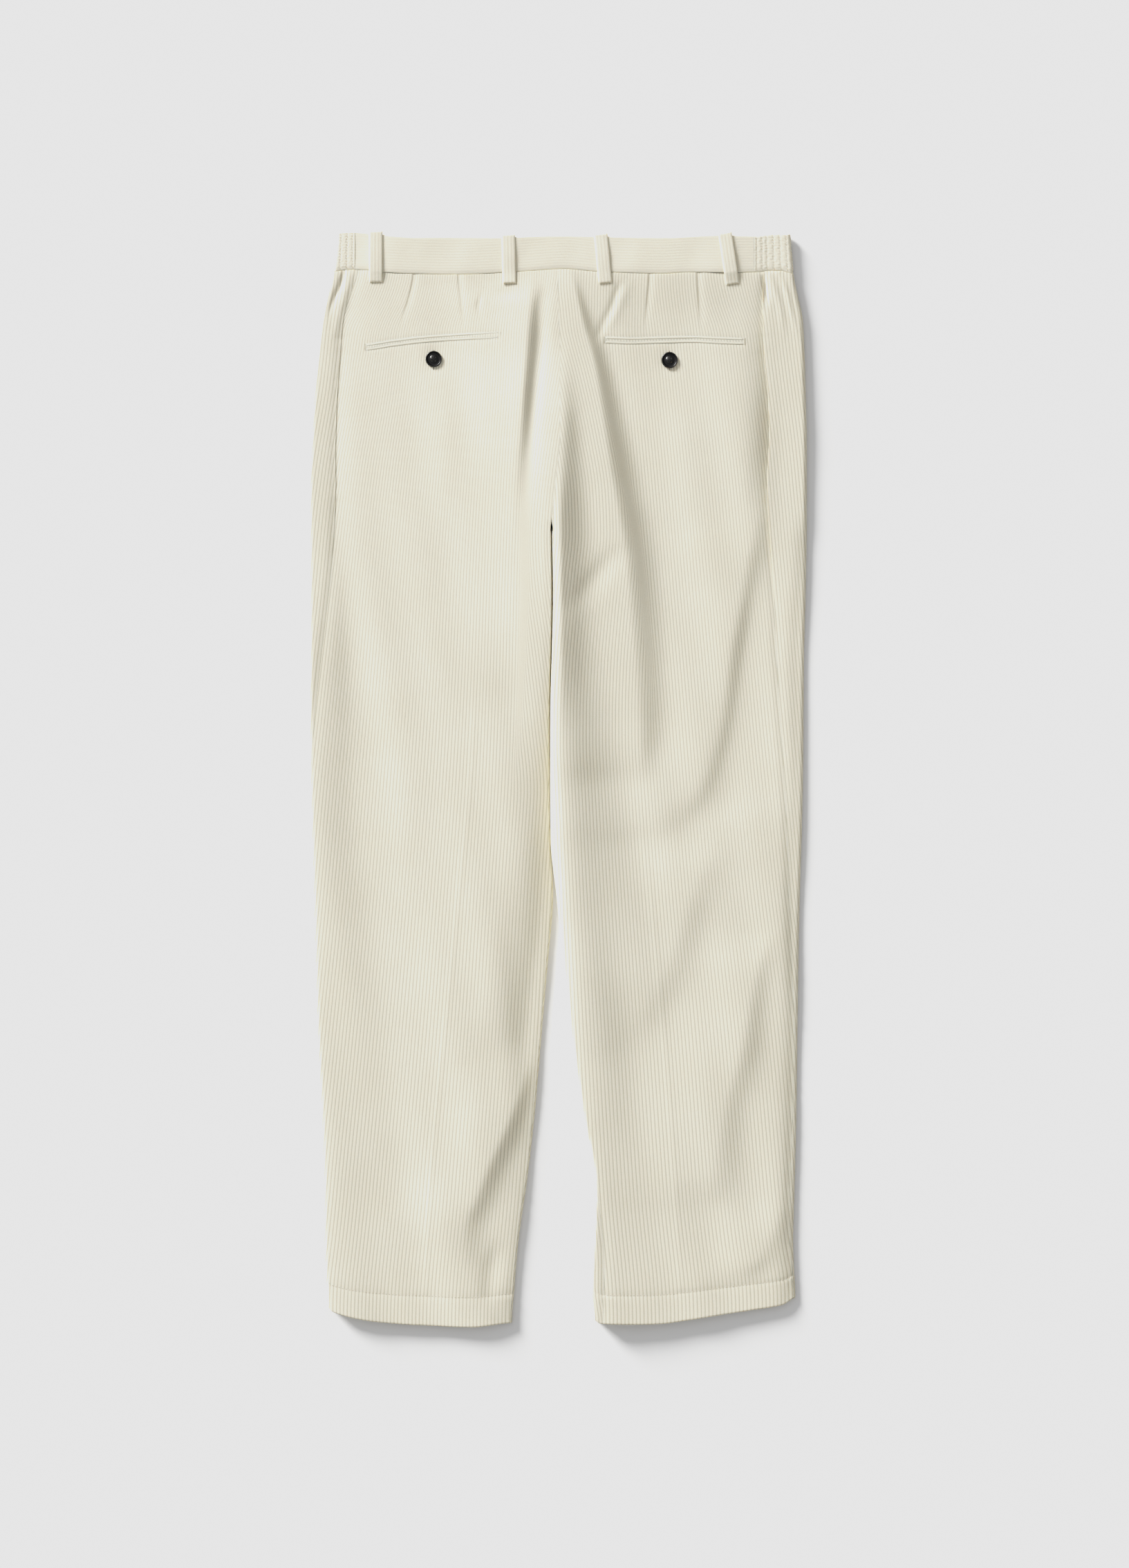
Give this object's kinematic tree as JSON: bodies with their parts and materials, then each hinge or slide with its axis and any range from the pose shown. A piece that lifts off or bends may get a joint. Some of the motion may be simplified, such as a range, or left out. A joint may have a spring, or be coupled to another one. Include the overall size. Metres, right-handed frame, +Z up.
{
  "type": "corduroy trousers laid flat",
  "caption": "Relaxed tapered corduroy trousers laid flat with the back upwards, with a part-elasticated waistband, belt loops and buttoned back pockets.",
  "frame": {"origin": "on the surface it lies on, below the middle of its outline", "axes": "+X to the right seen from above with the waist away, +Y from the hems towards the waist, +Z up out of the surface"},
  "size_m": [0.482, 1.0587, 0.0173],
  "materials": {
    "corduroy": "cream cotton corduroy, soft pile",
    "button": "glossy black"
  },
  "bodies": {
    "root": {"back_left": "corduroy", "back_right": "corduroy", "front_left": "corduroy", "front_right": "corduroy", "waistband_back": "corduroy", "waistband_elastic_left": "corduroy", "waistband_elastic_right": "corduroy", "waistband_front_left": "corduroy", "waistband_front_right": "corduroy", "belt_loop_back_outer_left": "corduroy", "belt_loop_back_inner_left": "corduroy", "belt_loop_back_inner_right": "corduroy", "belt_loop_back_outer_right": "corduroy", "belt_loop_front_left": "corduroy", "belt_loop_front_right": "corduroy", "welt_left_upper": "corduroy", "welt_left_lower": "corduroy", "welt_right_upper": "corduroy", "welt_right_lower": "corduroy", "pocket_button_left": "button", "pocket_button_right": "button"}
  },
  "joints": []
}
